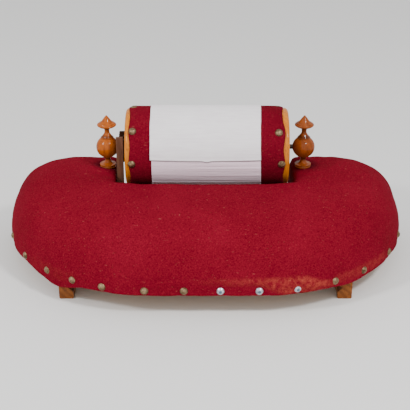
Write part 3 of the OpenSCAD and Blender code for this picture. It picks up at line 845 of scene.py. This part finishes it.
def painted_shade_weight(points):
    """Painted shade in the hollows round the posts' feet and on the walls of the recess."""
    x, y, z = points.T
    painted_shade = np.zeros(len(points))
    for name in ("left_post", "right_post"):
        post = middle(name)
        away = np.hypot(x - post.x, y - post.y)
        painted_shade = np.maximum(painted_shade, 0.55 * (1 - ease(away, 14 * MM, 30 * MM)) * (z > crest_z - 34 * MM))
    wall = (np.abs(x) < recess_x + 5 * MM) & (y > recess_y - 4 * MM)
    return np.maximum(painted_shade, 0.4 * wall * (1 - ease(z, crest_z - 16 * MM, crest_z - 4 * MM)))


def paint(mesh, name, values):
    """A value at every point of a mesh, which its material reads."""
    layer = mesh.attributes.new(name, "FLOAT", "POINT")
    layer.data.foreach_set("value", np.asarray(values, np.float32))


def pillow(material):
    """The felt cover over its stuffing: simulated, cut to its hem, tacked, and given the felt's thickness."""
    tacks = hem_tacks()
    body = rough_pillow()
    stuffed(body, tacks)
    settled(body)
    cut_to_hem(body)
    modify(body, "SUBSURF", levels=1, render_levels=1)
    baked(body)
    mesh = body.data
    points = upholstered(points_of(mesh), normals_of(mesh), tacks)
    move_points(mesh, points)
    paint(mesh, "faded", fade_weight(points))
    # Painted shade round the posts' feet and on the recess walls.
    paint(mesh, "painted_shade", painted_shade_weight(points))
    modify(body, "SOLIDIFY", thickness=FELT, offset=-1, use_even_offset=False)
    baked(body)
    smooth_shaded(body)
    return finish_piece(body, "frame", "red_felt", material, "felt_cover")


def straw_filling(material):
    """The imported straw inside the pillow, which the felt hides: lumpy, and clear of the boards."""
    body = linked("straw_filling", nodes["stuffing"].data.copy())
    modify(body, "REMESH", mode="VOXEL", voxel_size=7 * MM)
    modify(body, "SMOOTH", factor=0.5, iterations=4)
    baked(body)
    mesh = body.data
    points, normals = points_of(mesh), normals_of(mesh)
    inward = 4.5 * MM + 0.8 * MM * lumps(points, 18 * MM, 9)
    move_points(mesh, points - normals * inward[:, None])
    smooth_shaded(body)
    return finish_piece(body, "frame", "straw", material, "stuffing")


# ---------------------------------------------------------------- the roller

def tube(name, turns, stations, place):
    """A ring of quads: place(angle, share along X) gives each point."""
    made = bmesh.new()
    rows = [[made.verts.new(place(TAU * k / turns, i / stations)) for k in range(turns)] for i in range(stations + 1)]
    for near, far in zip(rows, rows[1:]):
        for k in range(turns):
            n = (k + 1) % turns
            made.faces.new((near[k], far[k], far[n], near[n]))
    mesh = bpy.data.meshes.new(name)
    made.to_mesh(mesh)
    made.free()
    return linked(name, mesh)


def round_roller(x, angle, radius):
    """A point on the roller: angle 0 is at the front, and it grows towards the top."""
    return Vector((x, axis.y - radius * math.cos(angle), axis.z + radius * math.sin(angle)))


def roller_tack_places():
    """Angle and X of every tack on the roller."""
    found = []
    for points in studs(nodes["roller_tacks"].data):
        c = points.mean(axis=0)
        found.append((math.atan2(c[2] - axis.z, axis.y - c[1]) % TAU, c[0]))
    return found


SLEEVE_SHOULDER = 9 * MM
SLEEVE_THICK = 1.4 * MM
SLEEVE_SEAM = math.radians(215)


def roller_sleeve(material):
    """The felt sleeve: full in the middle, drawn down to the discs, with scalloped edges between its tacks."""
    tacks = roller_tack_places()

    def scallop(angle, side):
        """1 at a tack of that end and -1 midway between two."""
        ring = [a for a, x in tacks if x * side > 0]
        nearest = min(abs((angle - a + math.pi) % TAU - math.pi) for a in ring)
        return math.cos(min(nearest * len(ring), math.pi))

    def ragged(angle, seed):
        """Slow noise round the sleeve's edge."""
        return noise.noise(Vector((math.cos(angle), math.sin(angle), seed)) * 1.7)

    def place(angle, share):
        out_l = 0.9 * MM * scallop(angle, -1) + 0.9 * MM * ragged(angle, 0)
        out_r = 1.5 * MM + 1.2 * MM * scallop(angle, 1) + 1.2 * MM * ragged(angle, 4)
        x = sleeve_low.x - out_l + share * (sleeve_high.x - sleeve_low.x + out_l + out_r)
        edge = min(x - sleeve_low.x + out_l, sleeve_high.x + out_r - x)
        drop = 1.7 * MM * (1 - min(edge / SLEEVE_SHOULDER, 1)) ** 2
        lump = 0.35 * MM * noise.noise(Vector((x, math.cos(angle) * roller_r, math.sin(angle) * roller_r)) / (26 * MM))
        lump *= min(edge / SLEEVE_SHOULDER, 1)
        gap = abs((angle - SLEEVE_SEAM + math.pi) % TAU - math.pi) * roller_r
        groove = 0.5 * MM * math.exp(-(gap / (1.2 * MM)) ** 2) * min(edge / SLEEVE_SHOULDER, 1)
        return round_roller(x, angle, roller_r - drop + lump - groove)

    body = tube("roller_sleeve", 360, 96, place)
    modify(body, "SOLIDIFY", thickness=SLEEVE_THICK, offset=-1, use_even_offset=False)
    baked(body)
    # Painted shade: the sleeve's right half is a little darker.
    paint(body.data, "painted_shade", 0.14 * (points_of(body.data)[:, 0] > 0))
    smooth_shaded(body)
    return finish_piece(body, "roller", "red_felt", material, "roller_felt")


SUNK_LEFT = 2.0 * MM
SUNK_RIGHT = 3.3 * MM


def sunk_tacks(material):
    """The roller's tacks, with the top one at each end driven into the felt, deeper at the right."""
    body = linked("roller_tack_heads", nodes["roller_tacks"].data.copy())
    points = points_of(body.data)
    for part in studs(body.data):
        centre = part.mean(axis=0)
        out = Vector((0, centre[1] - axis.y, centre[2] - axis.z)).normalized()
        if out.z > 0.9:
            mine = np.linalg.norm(points - centre, axis=1) < TACK_SPAN
            points[mine] -= np.array(out) * (SUNK_LEFT if centre[0] < 0 else SUNK_RIGHT)
    move_points(body.data, points)
    return finish_piece(body, "roller", "brass", material, "roller_tacks")


def roller_wadding(material):
    """The straw wound round the core inside the sleeve."""
    low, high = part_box("roller_stuffing")
    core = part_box("roller_core")[1].z - axis.z + SOFT_GAP
    outer = high.z - axis.z + 0.8 * MM
    made = bmesh.new()
    turns, stations = 96, 40
    rings = []
    profile = [(low.x + (high.x - low.x) * i / stations, outer) for i in range(stations + 1)]
    profile += [(high.x - (high.x - low.x) * i / stations, core) for i in range(stations + 1)]
    for x, r in profile:
        ring = []
        for k in range(turns):
            a = TAU * k / turns
            ply = 0.5 * MM * noise.noise(Vector((x * 90, math.cos(a) * 4, math.sin(a) * 4))) if r == outer else 0
            ring.append(made.verts.new(round_roller(x, a, r + ply)))
        rings.append(ring)
    for near, far in zip(rings, rings[1:] + rings[:1]):
        for k in range(turns):
            n = (k + 1) % turns
            made.faces.new((near[k], far[k], far[n], near[n]))
    mesh = bpy.data.meshes.new("roller_wadding")
    made.to_mesh(mesh)
    made.free()
    body = smooth_shaded(linked("roller_wadding", mesh))
    return finish_piece(body, "roller", "straw", material, "roller_stuffing")


LAP_ANGLE = math.radians(3.5)
LAP = 12 * MM
CLOTH_THICK = 0.6 * MM
CLOTH_SUNK = 0.95 * MM


def work_cloth(material):
    """The white cotton: from under its own end down, round the roller's back and over the top to the front."""
    under = cloth_high.z - axis.z - CLOTH_SUNK
    length = TAU * under + LAP
    turns, stations = 420, 90
    half = (cloth_high.x - cloth_low.x) / 2
    made = bmesh.new()
    rows, wrap, single, lap = [], [], [], []
    for k in range(turns + 1):
        along = length * k / turns
        angle = LAP_ANGLE + (LAP - along) / under
        on_top = ease(along, length - LAP - 22 * MM, length - LAP - 4 * MM)
        below = 1 - ease(along, 80 * MM, 110 * MM)
        lifted = 0.5 * MM * ease(along, length - 4 * MM, length)
        row = []
        for i in range(stations + 1):
            share = i / stations
            frayed = 0.5 * MM * noise.noise(Vector((share > 0.5, along * 45, 5)))
            x = (cloth_low.x + cloth_high.x) / 2 + (share * 2 - 1) * (half + frayed)
            x += 2.2 * MM * below * ease(1 - share, 0.5, 1)
            x -= 2.4 * MM * ease(share, 0.5, 1) * max(math.cos(angle - 0.4), 0) ** 2
            slack = 0.4 * MM * noise.noise(Vector((x * 14, along * 30, 3)))
            ridge = 0.7 * MM * below * noise.noise(Vector((x * 7, along * 330, 7)))
            r = under + (CLOTH_THICK * 1.5 + lifted) * on_top + max(slack + ridge, -0.1 * MM)
            sag = 1.6 * MM * math.cos(x / half * math.pi / 2) + 1.4 * MM * math.exp(-((x - 2 * MM) / (4 * MM)) ** 2)
            sag += 0.5 * MM * noise.noise(Vector((x * 22, 0, 11)))
            end = sag * ease(along, length - 9 * MM, length)
            row.append(made.verts.new(round_roller(x, angle - end / under, r)))
            wrap.append((along, x, 0))
            single.append(below)
            # Attribute 'lap': where the cotton gets its painted shadow, just under the upper layer's end.
            lap.append(1 - ease(abs(along - LAP - sag - 0.6 * MM), 0.4 * MM, 1.5 * MM))
        rows.append(row)
    for near, far in zip(rows, rows[1:]):
        for i in range(stations):
            made.faces.new((near[i], far[i], far[i + 1], near[i + 1]))
    mesh = bpy.data.meshes.new("work_cloth_sheet")
    made.to_mesh(mesh)
    made.free()
    layer = mesh.attributes.new("wrap", "FLOAT_VECTOR", "POINT")
    layer.data.foreach_set("vector", np.array(wrap, np.float32).ravel())
    paint(mesh, "single", single)
    paint(mesh, "lap", lap)
    body = linked("work_cloth_sheet", mesh)
    modify(body, "SOLIDIFY", thickness=CLOTH_THICK, offset=0, use_even_offset=False)
    baked(body)
    smooth_shaded(body)
    return finish_piece(body, "roller", "white_cotton", material, "work_cloth")


# ---------------------------------------------------------------- the whole

def turned_dirt(look):
    """Old polish in the necks of a turned post."""
    ball = axis.z
    up = look.along("Z")
    necks = [(ball + 17 * MM, 2 * MM), (ball - 18 * MM, 2 * MM), (ball + 29 * MM, 1.2 * MM)]
    total = None
    for z, wide in necks:
        line = look.band(up, z - wide, z + wide, 1.5 * MM)
        total = line if total is None else look.math("MAXIMUM", total, line)
    return look.math("MULTIPLY", total, 0.7)


SHARP_EDGE = math.radians(36)


def polished(node, body, slot_name):
    """A turned node with its small facets shaded smooth, and its edges kept."""
    mesh = nodes[node].data.copy()
    made = bmesh.new()
    made.from_mesh(mesh)
    bmesh.ops.remove_doubles(made, verts=made.verts, dist=0.01 * MM)
    made.to_mesh(mesh)
    made.free()
    piece = smooth_shaded(linked("polished_" + node, mesh))
    mesh.set_sharp_from_angle(angle=SHARP_EDGE)
    return finish_piece(piece, body, slot_name, mesh.materials[0], node)


CROWN_REACH = 3.4 * MM
CROWN_SPAN = 16 * MM


def mark_crowns(mesh):
    """Attribute 'crown': 1 at the middle of each tack's head, and 0 from CROWN_REACH outwards."""
    points = points_of(mesh)
    crown_share = np.zeros(len(points))
    for part in studs(mesh):
        centre = part.mean(axis=0)
        out = np.array(plan_place(centre)[1])
        top = part[np.argmax(part @ out)]
        mine = np.linalg.norm(points - centre, axis=1) < CROWN_SPAN
        away = points - top
        aside = np.linalg.norm(away - np.outer(away @ out, out), axis=1)
        crown_share[mine] = 1 - np.clip(aside[mine] / CROWN_REACH, 0, 1)
    paint(mesh, "crown", crown_share)


def set_looks():
    """The rigid nodes' materials."""
    plain = wood_look("pine_board", srgb(196, 158, 110), srgb(158, 116, 70), "X", rough=0.65)
    stained = wood_look("stained_runner", srgb(146, 84, 34), srgb(96, 50, 20), "Y", coat=0.15, rough=0.5)
    polish = wood_look("amber_varnish", srgb(170, 84, 6), srgb(122, 52, 4), "Z", coat=0.35, rough=0.5,
                       figure=0.5, dirt=turned_dirt)
    # A darker copy of the amber varnish for the right post: painted shade.
    shaded_polish = wood_look("shaded_amber_varnish", srgb(142, 66, 5), srgb(94, 40, 4), "Z", coat=0.35, rough=0.5,
                     figure=0.5, dirt=turned_dirt)
    rim = wood_look("amber_disc", srgb(206, 124, 26), srgb(166, 86, 12), "Z", coat=0.25, rough=0.4, figure=0.5)
    dark = wood_look("dark_beech", srgb(80, 50, 36), srgb(46, 28, 20), "Y", coat=0.1, rough=0.55)
    brown = wood_look("worn_beech", srgb(128, 90, 70), srgb(90, 60, 46), "Z", coat=0.05, rough=0.6)
    brass = metal_look("old_brass", srgb(150, 128, 98), srgb(88, 70, 50), 0.4)
    # The nickel heads get a darker blue-grey middle, partly wear and partly a painted reflection.
    nickel = metal_look("nickel_plate", srgb(222, 226, 232), srgb(150, 158, 166), 0.25, 240, "crown")
    mark_crowns(nodes["nickel_tacks"].data)
    steel = metal_look("steel", srgb(150, 150, 152), srgb(96, 92, 90), 0.38)
    iron = metal_look("iron", srgb(72, 66, 62), srgb(40, 32, 28), 0.5)
    looks = {
        "plain_wood": plain, "stained_wood": stained, "varnished_wood": polish, "disc_wood": rim,
        "dark_wood": dark, "pawl_wood": brown, "brass": brass, "nickel": nickel, "steel": steel, "iron": iron}
    for part in frame["record"]["subparts"]:
        # The right post takes the darker varnish copy, which is painted shade.
        look = shaded_polish if part["node"] == "right_post" else looks.get(part["material_slot"])
        mesh = nodes[part["node"]].data
        if look:
            mesh.materials.clear()
            mesh.materials.append(look)


camera()
floor()
world(1.0)
lamp("front", (-0.3, -2.2, 1.15), 2.4, 9)
lamp("left", (-1.36, -0.87, 1.41), 0.25, 20)
lamp("right", (0.806, -0.87, 1.5), 0.25, 19)
set_looks()
felt = felt_look("crimson_felt", 0.95)
straw = straw_look()
pillow(felt)
straw_filling(straw)
roller_wadding(straw)
roller_sleeve(felt_look("roller_crimson_felt", 0.89))
work_cloth(cotton_look())
sunk_tacks(nodes["brass_tacks"].data.materials[0])
for side in ("left", "right"):
    polished(side + "_post", "frame", "varnished_wood")
    polished(side + "_disc", "roller", "disc_wood")
